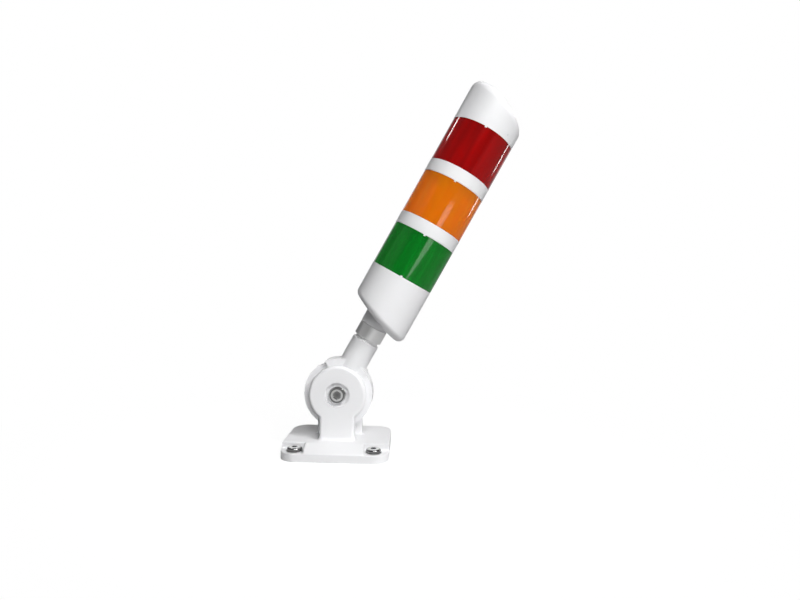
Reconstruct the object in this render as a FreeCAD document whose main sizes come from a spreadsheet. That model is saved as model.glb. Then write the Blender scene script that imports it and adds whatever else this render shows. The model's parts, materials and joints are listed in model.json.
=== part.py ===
# Stack light, 50 mm, three tiers, on a folding wall or table bracket.
# Millimetres, +Z up. The origin is the middle of the plate's underside. The fold's axis lies along Y,
# above the origin, and the tower leans towards +X. The tower's pieces are drawn upright, with
# their origin on the fold's axis, and each is then leaned over by its placement.
import FreeCAD, Part
import Sketcher
import math
import os
import re
from FreeCAD import Placement, Rotation, Vector

doc = FreeCAD.newDocument("stack_light")
sheet = doc.addObject("Spreadsheet::Sheet", "sizes")

# Driving dimensions: lengths in mm, angles in degrees, counts as plain numbers.
driving = {
    "Bracket": {
        "plate_width": 80, "plate_depth": 66, "plate_corner": 12, "flange_height": 5.8,
        "plateau_height": 10.5, "ramp_width": 9.5, "plate_edge_round": 0.8,
        "pivot_height": 45, "slot_half": 6.5, "front_ear": 6.7, "front_ear_radius": 21.8,
        "front_neck_half": 13.4, "front_round": 2.5, "rear_ear": 6.7, "rear_ear_radius": 25.2,
        "rear_neck_half": 17.5, "rear_round": 1.5, "neck_blend": 2.5, "waist_round": 2,
    },
    "Fixing screws": {
        "screw_half_pitch": 29, "screw_inset": 7.4, "screw_shank": 3, "screw_hole": 3.3, "screw_head": 5.5,
        "screw_head_height": 2.4, "screw_head_round": 1.4, "screw_hex": 4, "screw_hex_depth": 1.6,
        "screw_tip_gap": 0.3, "washer_radius": 6.3, "washer_height": 1, "pocket_margin": 0.7,
        "pocket_corner": 1.5,
    },
    "Pivot": {
        "bolt_radius": 4, "bolt_hole": 4.2, "bolt_running": 0.05, "bolt_head": 6.5, "bolt_head_height": 3.1,
        "bolt_hex": 6, "bolt_hex_depth": 2, "recess_radius": 9.2, "recess_depth": 2.2, "bolt_spare": 2,
        "pivot_washer_radius": 8, "pivot_washer_height": 1.6, "nut_flats": 13, "nut_height": 6.8,
        "disc_radius": 14.5, "disc_height": 0.75, "disc_seat": 0.5, "disc_running": 0.05,
    },
    "Knuckle": {
        "knuckle_radius": 26.2, "notch_depth": 3.2, "notch_width": 18, "shoulder_rise": 1,
        "shoulder_left": 50, "shoulder_right": 25, "shoulder_front": 8.9, "ear_gap": 0.7,
        "socket_aside": -1.5, "socket_radius": 10.7, "socket_top": 45.2, "socket_depth": 15.5,
        "socket_round": 1.1, "cable_hole": 3, "cable_hole_angle": 46.3,
    },
    "Pole collar": {
        "collar_bottom": 47.4, "collar_height": 10.4, "collar_radius": 11, "collar_bevel": 0.4,
        "lower_thread": 9.2, "lower_thread_length": 14, "upper_thread": 8.2, "thread_spare": 3,
        "thread_gap": 0.1, "pole_bore": 5.7, "lock_nut_flats": 22, "lock_nut_height": 4,
    },
    "Tower": {
        "lean": 28.5, "tower_radius": 25, "shell_wall": 2.2, "housing_top": 101.5, "lens_height": 34.7,
        "ring_height": 9.9, "spigot_depth": 3, "spigot_wall": 0.9, "lens_wall": 2.4, "fit_gap": 0.1,
        "ledge_height": 2, "ledge_bore": 19.5, "rib_radius": 0.7, "rib_count": 24, "tab_width": 1.6,
        "tab_height": 0.9, "joint_bevel": 0.25,
    },
    "Housing": {
        "housing_slant": 22.2, "housing_middle": 64.3, "housing_round": 5.2, "floor_wall": 2.6,
        "nut_pad": 15, "boss_round": 0.8, "cover_offset": 17.3, "cover_radius": 1.75, "cover_length": 12,
        "cover_head": 3.4, "cover_head_height": 2.2, "cover_recess": 3.9, "cover_pad": 4.6,
        "cover_pad_height": 1.2, "cover_pilot_gap": 0.1,
    },
    "Cap": {
        "cap_slant": 24.2, "cap_middle": 251.3, "cap_round": 6.3, "cap_wall": 2.2, "cap_inner_bevel": 5,
        "post_radius": 3.4, "post_height": 4.5,
    },
    "Inside": {
        "base_height": 3.3, "leg_radius": 3, "board_height": 1.6, "board_gap": 0.3, "column_flats": 17,
        "column_height": 28.5, "column_bore": 6, "led_width": 3.5, "led_height": 2.8, "led_depth": 0.9,
        "led_rows": 3, "led_pitch": 8, "rod_radius": 1.5, "rod_circle": 16.5, "rod_count": 3,
        "rod_start": 60, "rod_gap": 0.2, "rod_grip": 3, "rod_head": 2.8, "rod_head_height": 2.2,
        "terminal_width": 17, "terminal_depth": 9.5, "terminal_height": 9, "terminal_ways": 4,
        "terminal_screw": 1.5, "terminal_screw_depth": 1,
    },
}

size = {}
row = 1
for group, values in driving.items():
    sheet.set(f"A{row}", group)
    row += 1
    for name, value in values.items():
        sheet.set(f"A{row}", name)
        sheet.set(f"B{row}", str(value))
        sheet.setAlias(f"B{row}", name)
        size[name] = value
        row += 1
doc.recompute()


def bound(text):
    """The text with each size named in it read from the sheet."""
    return re.sub(r"[a-z_]+", lambda word: "sizes." + word[0] if word[0] in size else word[0], str(text))


def bind(item, prop, text):
    item.setExpression(prop, bound(text))


# Sketches and features

def new_body(label, axis=None):
    body = doc.addObject("PartDesign::Body", label)
    if axis:
        lean_over(body, axis)
    return body


def lean_over(item, axis="tower"):
    """Place a piece that is drawn upright on the fold's axis, or on the tower's, which passes beside it."""
    aside = "socket_aside" if axis == "tower" else "0"
    item.Placement = Placement(Vector(0, 0, 0), Rotation(Vector(0, 1, 0), 1))
    bind(item, "Placement.Rotation.Angle", "lean")
    bind(item, "Placement.Base.x", f"{aside}*cos(lean)")
    bind(item, "Placement.Base.z", f"pivot_height - {aside}*sin(lean)")


def new_sketch(body, name, plane="XY_Plane", offset=None, turn=None):
    sketch = body.newObject("Sketcher::SketchObject", name)
    support = next(item for item in body.Origin.OriginFeatures if item.Role == plane)
    sketch.AttachmentSupport = (support, [""])
    sketch.MapMode = "FlatFace"
    if turn is not None:
        sketch.AttachmentOffset = Placement(Vector(0, 0, 0), Rotation(Vector(0, 1, 0), 1))
        bind(sketch, "AttachmentOffset.Rotation.Angle", turn)
    if offset is not None:
        bind(sketch, "AttachmentOffset.Base.z", offset)
    return sketch


def hold(sketch, geometry, end, along, across):
    """Hold one point of a sketch at two named places."""
    for kind, text, axis in (("DistanceX", along, -2), ("DistanceY", across, -1)):
        if str(text) == "0":
            sketch.addConstraint(Sketcher.Constraint("PointOnObject", geometry, end, axis))
        else:
            index = sketch.addConstraint(Sketcher.Constraint(kind, -1, 1, geometry, end, value_of(text)))
            bind(sketch, f"Constraints[{index}]", text)


def value_of(text):
    """The present value of an expression on sizes, so that a sketch starts near its solution."""
    words = {"cos": lambda a: math.cos(math.radians(a)), "sin": lambda a: math.sin(math.radians(a)),
             "tan": lambda a: math.tan(math.radians(a)), "sqrt": math.sqrt}
    parts = re.findall(r"[a-z_]+|[\d.]+|\*\*|[-+*/(),^]", str(text))
    return calculate(parts, words)


def calculate(parts, words):
    """Work out a sum written with + - * / ^, brackets, sizes and the functions in words."""
    def factor():
        word = parts.pop(0)
        if word == "-":
            return -factor()
        if word == "(":
            inner = total()
            parts.pop(0)
        elif word in words:
            parts.pop(0)
            inner = words[word](total())
            parts.pop(0)
        elif word in size:
            inner = size[word]
        else:
            inner = float(word)
        if parts and parts[0] == "^":
            parts.pop(0)
            return inner ** factor()
        return inner

    def product():
        result = factor()
        while parts and parts[0] in "*/":
            result = result * factor() if parts.pop(0) == "*" else result / factor()
        return result

    def total():
        result = product()
        while parts and parts[0] in "+-":
            result = result + product() if parts.pop(0) == "+" else result - product()
        return result

    return total()


def polygon(sketch, points):
    """A closed outline through named points."""
    places = [Vector(value_of(x), value_of(y), 0) for x, y in points]
    first = sketch.GeometryCount
    count = len(points)
    for i in range(count):
        sketch.addGeometry(Part.LineSegment(places[i], places[(i + 1) % count]), False)
    for i in range(count):
        sketch.addConstraint(Sketcher.Constraint("Coincident", first + i, 2, first + (i + 1) % count, 1))
    for i, (x, y) in enumerate(points):
        hold(sketch, first + i, 1, x, y)


def circle(sketch, radius, x=0, y=0):
    place = Vector(value_of(x), value_of(y), 0)
    index = sketch.addGeometry(Part.Circle(place, Vector(0, 0, 1), value_of(radius)), False)
    if str(x) == "0" and str(y) == "0":
        sketch.addConstraint(Sketcher.Constraint("Coincident", index, 3, -1, 1))
    else:
        hold(sketch, index, 3, x, y)
    held = sketch.addConstraint(Sketcher.Constraint("Radius", index, value_of(radius)))
    bind(sketch, f"Constraints[{held}]", radius)


def hexagon(sketch, flats):
    """A hexagon about the origin with two flats parallel to the sketch's vertical axis."""
    half = f"{flats}/2"
    corner = f"{flats}/2/cos(30)"
    side = f"{flats}/4/cos(30)"
    polygon(sketch, [(half, side), ("0", corner), (f"-{half}", side),
                     (f"-{half}", f"-{side}"), ("0", f"-{corner}"), (half, f"-{side}")])


def extrude(body, kind, name, sketch, length, both=False, backward=False):
    feature = body.newObject("PartDesign::" + kind, name)
    feature.Profile = sketch
    if both:
        feature.SideType = "Symmetric"
    feature.Reversed = backward
    bind(feature, "Length", length)
    doc.recompute()
    return feature


def pad(body, name, sketch, length, both=False, backward=False):
    return extrude(body, "Pad", name, sketch, length, both, backward)


def pocket(body, name, sketch, length, both=False, backward=False):
    before = body.Shape.Volume
    feature = extrude(body, "Pocket", name, sketch, length, both, backward)
    if body.Shape.Volume > before - 1e-6:
        raise RuntimeError(f"{body.Name}: {name} cuts nothing")
    return feature


def turn(body, kind, name, sketch, axis="V_Axis", angle=None, other_angle=None):
    feature = body.newObject("PartDesign::" + kind, name)
    feature.Profile = sketch
    feature.ReferenceAxis = (sketch, [axis])
    if angle is not None:
        feature.Type = "TwoAngles"
        bind(feature, "Angle", angle)
        bind(feature, "Angle2", other_angle)
    doc.recompute()
    return feature


def revolve(body, name, points):
    """A full turn about Z of an outline in (radius, height)."""
    sketch = new_sketch(body, name + "_outline", "XZ_Plane")
    polygon(sketch, points)
    return turn(body, "Revolution", name, sketch)


def round_edges(body, name, radius, test, kind="Fillet"):
    """Round or bevel the edges of the body that pass the test."""
    base = body.Tip
    chosen = [f"Edge{i + 1}" for i, edge in enumerate(base.Shape.Edges) if test(edge)]
    if not chosen:
        raise RuntimeError(f"{body.Name}: {name} finds no edge")
    feature = body.newObject("PartDesign::" + kind, name)
    feature.Base = (base, chosen)
    bind(feature, "Radius" if kind == "Fillet" else "Size", radius)
    doc.recompute()
    return feature


def repeat_round(body, name, feature, count):
    pattern = body.newObject("PartDesign::PolarPattern", name)
    pattern.Originals = [feature]
    axis = next(item for item in body.Origin.OriginFeatures if item.Role == "Z_Axis")
    pattern.Axis = (axis, [""])
    pattern.Angle = 360
    bind(pattern, "Occurrences", count)
    body.Tip = pattern
    doc.recompute()
    return pattern


# Part primitives

def cylinder(name, radius, bottom, height, x=None, y=None):
    item = doc.addObject("Part::Cylinder", name)
    bind(item, "Radius", radius)
    bind(item, "Height", height)
    bind(item, "Placement.Base.z", bottom)
    if x is not None:
        bind(item, "Placement.Base.x", x)
    if y is not None:
        bind(item, "Placement.Base.y", y)
    return item


def tilted_cylinder(name, radius, length, x, z, angle):
    """A cylinder that starts at (x, 0, z) and runs along Z turned about Y."""
    item = doc.addObject("Part::Cylinder", name)
    bind(item, "Radius", radius)
    bind(item, "Height", length)
    item.Placement = Placement(Vector(0, 0, 0), Rotation(Vector(0, 1, 0), 1))
    bind(item, "Placement.Rotation.Angle", angle)
    bind(item, "Placement.Base.x", x)
    bind(item, "Placement.Base.z", z)
    return item


def slant_block(name, middle, angle, above):
    """A block with a slanted face that crosses the axis at middle, with its body above or below."""
    item = doc.addObject("Part::Box", name)
    for prop in ("Length", "Width", "Height"):
        bind(item, prop, "tower_radius*6")
    item.Placement = Placement(Vector(0, 0, 0), Rotation(Vector(0, 1, 0), 1))
    bind(item, "Placement.Rotation.Angle", angle)
    drop = "0" if above else "(tower_radius*6)"
    bind(item, "Placement.Base.x", f"-tower_radius*3*cos({angle}) - {drop}*sin({angle})")
    bind(item, "Placement.Base.y", "-tower_radius*3")
    bind(item, "Placement.Base.z", f"{middle} + tower_radius*3*sin({angle}) - {drop}*cos({angle})")
    return item


def cut(name, base, tool):
    item = doc.addObject("Part::Cut", name)
    item.Base = base
    item.Tool = tool
    return item


def fuse(name, items):
    item = doc.addObject("Part::MultiFuse", name)
    item.Shapes = items
    return item


def common(name, items):
    item = doc.addObject("Part::MultiCommon", name)
    item.Shapes = items
    return item


def round_off(kind, name, base, width, test):
    doc.recompute()
    item = doc.addObject(kind, name)
    item.Base = base
    chosen = [i + 1 for i, edge in enumerate(base.Shape.Edges) if test(edge)]
    if not chosen:
        raise RuntimeError(f"{name} finds no edge")
    item.Edges = [(i, size[width], size[width]) for i in chosen]
    doc.recompute()
    return item


def fillet(name, base, radius, test):
    return round_off("Part::Fillet", name, base, radius, test)


def bevel(name, base, width, test):
    return round_off("Part::Chamfer", name, base, width, test)


def group(label, solids, axis=None):
    """Separate solids of one kind as one piece, with its shape worked out from the sheet's sizes."""
    item = doc.addObject("Part::Feature", label)
    item.Shape = Part.Compound(solids)
    if axis:
        lean_over(item, axis)
    return item


pieces = []


def keep(item, label):
    item.Label = label
    pieces.append(item)


# Heights of the stack above the fold's axis

GREEN, ORANGE, RED = range(3)


def lens_bottom(tier):
    return f"(housing_top + {tier}*(lens_height + ring_height))"


def ring_bottom(tier):
    """Underside of the spacer ring, or of the cap, that stands on a tier's lens."""
    return f"({lens_bottom(tier)} + lens_height)"


def board_bottom(tier):
    if tier == GREEN:
        return "(housing_top - spigot_depth - fit_gap)"
    return f"({lens_bottom(tier)} - spigot_depth - fit_gap)"


# the lock nut's seat is level with the slanted floor at the pad's edge
nut_pad_top = "(housing_middle + nut_pad*tan(housing_slant) + floor_wall/cos(housing_slant))"
spigot_inner = "(tower_radius - lens_wall)"
spigot_outer = "(tower_radius - lens_wall + spigot_wall)"
rebate = f"({spigot_outer} + fit_gap)"
rebate_depth = "(spigot_depth + fit_gap)"


def near(a, b, tolerance=0.01):
    return abs(a - b) < tolerance


# Bracket: plate with two ears, one moulding

def make_bracket():
    body = new_body("bracket")
    half_width = "plate_width/2"
    half_depth = "plate_depth/2"
    sketch = new_sketch(body, "plate_outline")
    polygon(sketch, [(half_width, half_depth), (f"-{half_width}", half_depth),
                     (f"-{half_width}", f"-{half_depth}"), (half_width, f"-{half_depth}")])
    pad(body, "plate", sketch, "plateau_height")
    round_edges(body, "plate_corners", "plate_corner", lambda e: e.BoundBox.ZLength > 1)

    # the front falls away in a ramp to the flange
    ramp = new_sketch(body, "ramp_outline", "YZ_Plane")
    polygon(ramp, [(f"-{half_depth} - 2", "flange_height"), (f"-{half_depth}", "flange_height"),
                   (f"-{half_depth} + ramp_width", "plateau_height"),
                   (f"-{half_depth} + ramp_width", "plateau_height + 2"),
                   (f"-{half_depth} - 2", "plateau_height + 2")])
    pocket(body, "ramp", ramp, "plate_width + 4", both=True)

    # a pocket in each front corner seats a fixing screw
    for side, name in ((1, "right"), (-1, "left")):
        seat = new_sketch(body, f"{name}_pocket_outline", offset="flange_height")
        inner = f"{side}*(screw_half_pitch - washer_radius - pocket_margin)"
        outer = f"{side}*(plate_width/2 + 2)"
        back = f"-{half_depth} + screw_inset + washer_radius + pocket_margin"
        front = f"-{half_depth} - 2"
        polygon(seat, [(inner, back), (outer, back), (outer, front), (inner, front)])
        pocket(body, f"{name}_pocket", seat, "plateau_height", backward=True)
    inner_x = size["screw_half_pitch"] - size["washer_radius"] - size["pocket_margin"]
    back_y = -size["plate_depth"] / 2 + size["screw_inset"] + size["washer_radius"] + size["pocket_margin"]
    round_edges(body, "pocket_corners", "pocket_corner",
                lambda e: e.BoundBox.ZLength > 1 and near(abs(e.CenterOfMass.x), inner_x)
                and near(e.CenterOfMass.y, back_y))

    def on_rim(edge):
        box = edge.BoundBox
        upright = near(box.DiagonalLength, box.ZLength)
        beyond_x = abs(edge.CenterOfMass.x) > size["plate_width"] / 2 - size["plate_corner"] / 2
        beyond_y = abs(edge.CenterOfMass.y) > size["plate_depth"] / 2 - size["plate_corner"] / 2
        return not upright and box.ZMin > size["flange_height"] - 0.01 and (
            near(box.XMax, size["plate_width"] / 2) or near(box.XMin, -size["plate_width"] / 2)
            or near(box.YMax, size["plate_depth"] / 2) or near(box.YMin, -size["plate_depth"] / 2)
            or (beyond_x and beyond_y))
    round_edges(body, "plate_edge", "plate_edge_round", on_rim)

    # ears: a round eye on a straight neck
    pivot = "pivot_height"
    for name, radius, neck, start, thickness in (
            ("front", "front_ear_radius", "front_neck_half", "slot_half", "front_ear"),
            ("rear", "rear_ear_radius", "rear_neck_half", "-(slot_half + rear_ear)", "rear_ear")):
        eye = new_sketch(body, f"{name}_eye_outline", "XZ_Plane", offset=start)
        circle(eye, radius, 0, pivot)
        pad(body, f"{name}_eye", eye, thickness)
        stem = new_sketch(body, f"{name}_neck_outline", "XZ_Plane", offset=start)
        polygon(stem, [(f"-{neck}", "flange_height"), (neck, "flange_height"), (neck, pivot),
                       (f"-{neck}", pivot)])
        pad(body, f"{name}_neck", stem, thickness)

    top = size["plateau_height"]
    round_edges(body, "waists", "waist_round",
                lambda e: near(e.BoundBox.DiagonalLength, e.BoundBox.YLength)
                and top + 1 < e.CenterOfMass.z < size["pivot_height"] - 1)

    # holes for the pivot bolt and the fixing screws
    recess = new_sketch(body, "recess_outline", "XZ_Plane", offset="slot_half + front_ear")
    circle(recess, "recess_radius", 0, pivot)
    pocket(body, "recess", recess, "recess_depth")
    hole = new_sketch(body, "pivot_hole_outline", "XZ_Plane")
    circle(hole, "bolt_hole", 0, pivot)
    pocket(body, "pivot_hole", hole, "plate_depth", both=True)
    holes = new_sketch(body, "screw_hole_outline")
    for side in (1, -1):
        circle(holes, "screw_hole", f"{side}*screw_half_pitch", f"-{half_depth} + screw_inset")
    pocket(body, "screw_holes", holes, "plateau_height*3", both=True)

    def on_ear(edge):
        around_hole = 1 < edge.BoundBox.XLength < 2 * size["recess_radius"] + 1
        return edge.BoundBox.ZMax > top + 1 and not around_hole

    front_face = -size["slot_half"] - size["front_ear"]
    rear_face = size["slot_half"] + size["rear_ear"]
    round_edges(body, "front_edge", "front_round",
                lambda e: near(e.BoundBox.YMin, front_face) and near(e.BoundBox.YMax, front_face)
                and on_ear(e))
    round_edges(body, "rear_edge", "rear_round",
                lambda e: near(e.BoundBox.YMin, rear_face) and near(e.BoundBox.YMax, rear_face)
                and on_ear(e))
    ear_ends = rear_face + 0.1
    round_edges(body, "neck_blends", "neck_blend",
                lambda e: near(e.BoundBox.ZMin, top) and near(e.BoundBox.ZMax, top)
                and abs(e.CenterOfMass.y) < ear_ends and abs(e.CenterOfMass.x) < size["rear_neck_half"] + 0.1
                and not near(abs(e.CenterOfMass.y), size["slot_half"]))
    keep(body, "bracket")


# Fixing screws and their washers, one of each in either pocket

def make_fixings():
    seat = size["flange_height"]
    inset = -size["plate_depth"] / 2 + size["screw_inset"]
    screws = []
    washers = []
    for side in (-1, 1):
        place = Vector(side * size["screw_half_pitch"], inset, seat)
        up = Vector(0, 0, 1)
        washer = Part.makeCylinder(size["washer_radius"], size["washer_height"], place)
        washer = washer.makeChamfer(size["washer_height"] / 5, [washer.Edges[0], washer.Edges[2]])
        washers.append(washer.cut(Part.makeCylinder(size["screw_hole"], size["washer_height"], place)))
        under = place + up * size["washer_height"]
        shank_length = size["flange_height"] + size["washer_height"] - size["screw_tip_gap"]
        shank = Part.makeCylinder(size["screw_shank"], shank_length, under, -up)
        # a flat head with a rounded rim
        height = size["screw_head_height"]
        head = Part.makeCylinder(size["screw_head"], height, under)
        top = under.z + height
        rim = [edge for edge in head.Edges if near(edge.BoundBox.ZMin, top)]
        head = head.makeFillet(size["screw_head_round"], rim)
        reach = size["screw_hex"] / 2 / math.cos(math.radians(30))
        corners = [under + Vector(reach * math.cos(math.radians(a)), reach * math.sin(math.radians(a)),
                                  height - size["screw_hex_depth"]) for a in range(0, 420, 60)]
        drive = Part.Face(Part.makePolygon(corners)).extrude(up * height)
        screws.append(head.fuse(shank).removeSplitter().cut(drive))
    keep(group("fixing_screws", screws), "fixing_screws")
    keep(group("fixing_washers", washers), "fixing_washers")


# Pivot bolt, washer and lock nut, drawn along Z and laid along Y, pointing to the back

def lay_back(body):
    body.Placement = Placement(Vector(0, 0, 0), Rotation(Vector(1, 0, 0), -90))
    bind(body, "Placement.Base.z", "pivot_height")


def make_pivot():
    seat = "(-slot_half - front_ear + recess_depth)"
    rear = "(slot_half + rear_ear)"
    tip = f"({rear} + pivot_washer_height + nut_height + bolt_spare)"
    bolt = new_body("pivot_bolt")
    bevel = "bolt_radius/6"
    crown = "bolt_head/8"
    revolve(bolt, "bolt", [
        ("0", f"{seat} - bolt_head_height"), (f"bolt_head - {crown}", f"{seat} - bolt_head_height"),
        ("bolt_head", f"{seat} - bolt_head_height + {crown}"), ("bolt_head", seat), ("bolt_radius", seat),
        ("bolt_radius", f"{tip} - {bevel}"), (f"bolt_radius - {bevel}", tip), ("0", tip)])
    drive = new_sketch(bolt, "drive_outline", offset=f"{seat} - bolt_head_height")
    hexagon(drive, "bolt_hex")
    pocket(bolt, "drive", drive, "bolt_hex_depth", backward=True)
    lay_back(bolt)
    keep(bolt, "pivot_bolt")

    washer = new_body("pivot_washer")
    ring = new_sketch(washer, "ring_outline", offset=rear)
    circle(ring, "pivot_washer_radius")
    circle(ring, "bolt_hole")
    pad(washer, "ring", ring, "pivot_washer_height")
    round_edges(washer, "ring_bevel", "pivot_washer_height/8",
                lambda e: near(e.BoundBox.XLength, 2 * size["pivot_washer_radius"]), "Chamfer")
    lay_back(washer)
    keep(washer, "pivot_washer")

    nut = new_body("pivot_nut")
    add_nut(nut, f"({rear} + pivot_washer_height)", "nut_flats", "nut_height", "bolt_radius + bolt_running")
    lay_back(nut)
    keep(nut, "pivot_nut")


def add_nut(body, bottom, flats, height, bore):
    """A hexagon nut with both faces bevelled and a plain bore."""
    prism = new_sketch(body, "prism_outline", offset=bottom)
    hexagon(prism, flats)
    pad(body, "prism", prism, height)
    bore_sketch = new_sketch(body, "bore_outline", offset=f"{bottom} + {height}")
    circle(bore_sketch, bore)
    pocket(body, "bore", bore_sketch, height)
    corner = f"{flats}/2/cos(30)"
    for name, face, inward in (("lower", bottom, "+"), ("upper", f"({bottom} + {height})", "-")):
        edge = new_sketch(body, f"{name}_bevel_outline", "XZ_Plane")
        drop = f"({corner} - {flats}/2)*tan(30)"
        polygon(edge, [(f"{flats}/2", face), (f"{corner} + 1", face),
                       (f"{corner} + 1", f"{face} {inward} {drop} {inward} tan(30)")])
        turn(body, "Groove", f"{name}_bevel", edge)


# Knuckle arm: disc between the ears, shoulder and socket, one moulding. Drawn about the fold's axis.

def make_knuckle():
    body = new_body("knuckle_arm", "fold")
    half = "(slot_half - disc_running - disc_height + disc_seat)"
    disc = new_sketch(body, "disc_outline", "XZ_Plane")
    circle(disc, "knuckle_radius")
    pad(body, "disc", disc, f"2*{half}", both=True)
    notch = new_sketch(body, "notch_outline", "XZ_Plane")
    near_end, far_end = "shoulder_left", "shoulder_left + notch_width"
    floor, outside = "(knuckle_radius - notch_depth)", "(knuckle_radius + 4)"
    polygon(notch, [(f"-{radius}*sin({angle})", f"{radius}*cos({angle})") for radius, angle in
                    ((floor, near_end), (outside, near_end), (outside, far_end), (floor, far_end))])
    pocket(body, "notch", notch, "knuckle_radius", both=True)

    inner = "(front_ear_radius + ear_gap)"
    band = new_sketch(body, "shoulder_outline", "YZ_Plane")
    outer = "(knuckle_radius + shoulder_rise)"
    polygon(band, [("-shoulder_front", inner), (half, inner), (half, outer), ("-shoulder_front", outer)])
    turn(body, "Revolution", "shoulder", band, "H_Axis", "shoulder_right", "shoulder_left")

    socket = new_sketch(body, "socket_outline")
    circle(socket, "socket_radius", "socket_aside")
    pad(body, "socket", socket, "socket_top")
    # the socket stands clear of both ears all round the fold
    for name, near_side, reach in (("front", -1, "front_ear_radius"), ("rear", 1, "rear_ear_radius")):
        room = new_sketch(body, f"{name}_room_outline", "YZ_Plane")
        polygon(room, [(f"{near_side}*{half}", "0"), (f"{near_side}*(socket_radius + 2)", "0"),
                       (f"{near_side}*(socket_radius + 2)", f"{reach} + ear_gap"),
                       (f"{near_side}*{half}", f"{reach} + ear_gap")])
        turn(body, "Groove", f"{name}_room", room, "H_Axis")

    bore = new_sketch(body, "bore_outline", offset="socket_top")
    circle(bore, "lower_thread + thread_gap", "socket_aside")
    pocket(body, "bore", bore, "socket_depth + collar_bottom - socket_top")
    # the supply cable leaves through the left notch
    outlet = new_sketch(body, "outlet_outline", offset="0", turn="-180 + cable_hole_angle")
    foot = "((socket_top - socket_depth)*sin(cable_hole_angle) + socket_aside*cos(180 - cable_hole_angle))"
    circle(outlet, "cable_hole", foot, 0)
    pocket(body, "outlet", outlet, "knuckle_radius*2", both=True)
    pivot = new_sketch(body, "pivot_outline", "XZ_Plane")
    circle(pivot, "bolt_radius + bolt_running")
    pocket(body, "pivot_bore", pivot, "knuckle_radius", both=True)
    for name, start, back in (("front", half, False), ("rear", f"-{half}", True)):
        seat = new_sketch(body, f"{name}_seat_outline", "XZ_Plane", offset=start)
        circle(seat, "disc_radius + fit_gap")
        pocket(body, f"{name}_seat", seat, "disc_seat", backward=back)
    rim = size["knuckle_radius"] + size["shoulder_rise"]
    round_edges(body, "shoulder_ends", "shoulder_rise*0.8",
                lambda e: near(e.BoundBox.DiagonalLength, e.BoundBox.YLength)
                and near(math.hypot(e.CenterOfMass.x, e.CenterOfMass.z), rim))
    socket_top = size["socket_top"]
    round_edges(body, "socket_lip", "socket_round",
                lambda e: near(e.BoundBox.ZMin, socket_top)
                and near(e.BoundBox.XLength, 2 * size["socket_radius"]))
    keep(body, "knuckle_arm")


def make_friction_discs():
    discs = []
    inner = size["slot_half"] - size["disc_running"] - size["disc_height"]
    for start in (inner, -inner - size["disc_height"]):
        place = Vector(0, start, 0)
        along = Vector(0, 1, 0)
        plain = Part.makeCylinder(size["disc_radius"], size["disc_height"], place, along)
        bore = size["bolt_radius"] + 4 * size["bolt_running"]
        discs.append(plain.cut(Part.makeCylinder(bore, size["disc_height"], place, along)))
    keep(group("friction_discs", discs, "fold"), "friction_discs")


# Pole collar: turned aluminium, threaded into the socket below and through the housing's boss above

def make_collar():
    body = new_body("pole_collar", "tower")
    top = "(collar_bottom + collar_height)"
    low = "(collar_bottom - lower_thread_length)"
    high = f"({nut_pad_top} + lock_nut_height + thread_spare)"
    revolve(body, "collar", [
        ("pole_bore", low), ("lower_thread - collar_bevel*2", low),
        ("lower_thread", f"{low} + collar_bevel*2"),
        ("lower_thread", "collar_bottom"), ("collar_radius - collar_bevel", "collar_bottom"),
        ("collar_radius", "collar_bottom + collar_bevel"), ("collar_radius", f"{top} - collar_bevel"),
        ("collar_radius - collar_bevel", top), ("upper_thread", top),
        ("upper_thread", f"{high} - collar_bevel*2"),
        ("upper_thread - collar_bevel*2", high), ("pole_bore", high)])
    keep(body, "pole_collar")

    nut = new_body("lock_nut", "tower")
    add_nut(nut, nut_pad_top, "lock_nut_flats", "lock_nut_height", "upper_thread + thread_gap")
    keep(nut, "lock_nut")


# Lower housing: a tube whose underside is cut at a slant, with a boss for the collar

def cover_axis(height):
    """X and Z of a point on the cover screw's axis, at a height along the slanted face's normal."""
    x = f"(-cover_offset + ({height})*sin(housing_slant))"
    z = f"(housing_middle + cover_offset*tan(housing_slant) + ({height})*cos(housing_slant))"
    return x, z


def tab_block(name, edge, inward, deeper=False):
    """A small block on the tower's front that keys a lens to the rim it meets."""
    item = doc.addObject("Part::Box", name)
    gap = "fit_gap" if deeper else "0"
    bind(item, "Length", f"tab_width + 2*{gap}")
    bind(item, "Width", f"tower_radius - {rebate} + 2*{gap}")
    bind(item, "Height", f"tab_height + spigot_depth/2 + {gap}")
    bind(item, "Placement.Base.x", f"-tab_width/2 - {gap}")
    bind(item, "Placement.Base.y", f"-tower_radius - {gap} + 0.1")
    start = f"{edge} - spigot_depth/2" if inward > 0 else f"{edge} - tab_height - {gap}"
    bind(item, "Placement.Base.z", start)
    return item


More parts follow.
